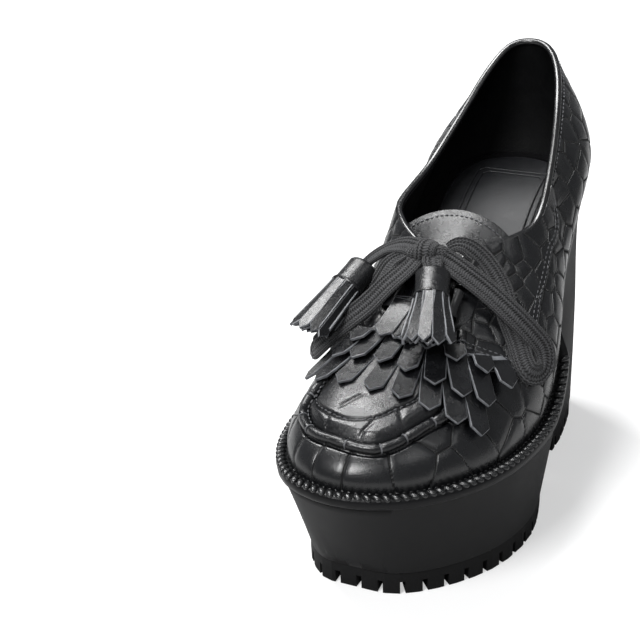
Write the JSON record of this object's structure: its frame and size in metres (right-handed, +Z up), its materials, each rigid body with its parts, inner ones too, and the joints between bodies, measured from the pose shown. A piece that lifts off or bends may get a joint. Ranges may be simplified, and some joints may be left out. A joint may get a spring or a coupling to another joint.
{
  "type": "platform shoe",
  "caption": "Left lace-up platform shoe with moc toe, fringed vamp, tasselled lace, ribbed welt, lugged platform sole and block heel.",
  "frame": {"origin": "on the floor, at the middle of the forefoot tread, 70 mm behind the toe tip", "axes": "+Y from the toe to the heel, +X to the outer side of the foot, +Z up"},
  "size_m": [0.1024, 0.2148, 0.167],
  "materials": {
    "embossed_leather": "black calf embossed with large reptile scales, soft gloss",
    "smooth_leather": "smooth black calf, soft gloss",
    "gloss_leather": "rolled black leather, glossy",
    "lining_leather": "matt black lining leather",
    "tread_rubber": "matt black moulded rubber",
    "welt_rubber": "satin black ribbed strip",
    "platform_matte": "matt black wrapped platform",
    "heel_matte": "matt black wrapped heel block",
    "woven_cotton": "flat woven black cotton"
  },
  "bodies": {
    "root": {"upper": "embossed_leather", "platform": "platform_matte", "outsole": "tread_rubber", "heel_block": "heel_matte", "heel_top_piece": "tread_rubber", "welt": "welt_rubber", "insole": "lining_leather", "tongue": "smooth_leather", "fringe_tier_1": "smooth_leather", "fringe_tier_2": "smooth_leather", "fringe_tier_3": "smooth_leather", "lace_loop_outer_1": "gloss_leather", "lace_loop_outer_2": "gloss_leather", "lace_loop_inner_1": "gloss_leather", "lace_loop_inner_2": "gloss_leather", "lace_crossing": "woven_cotton", "lace_knot": "woven_cotton", "lace_bow_outer": "woven_cotton", "lace_bow_inner": "woven_cotton", "lace_end_inner": "woven_cotton", "lace_end_front": "woven_cotton", "tassel_inner": "smooth_leather", "tassel_front": "smooth_leather"}
  },
  "joints": []
}
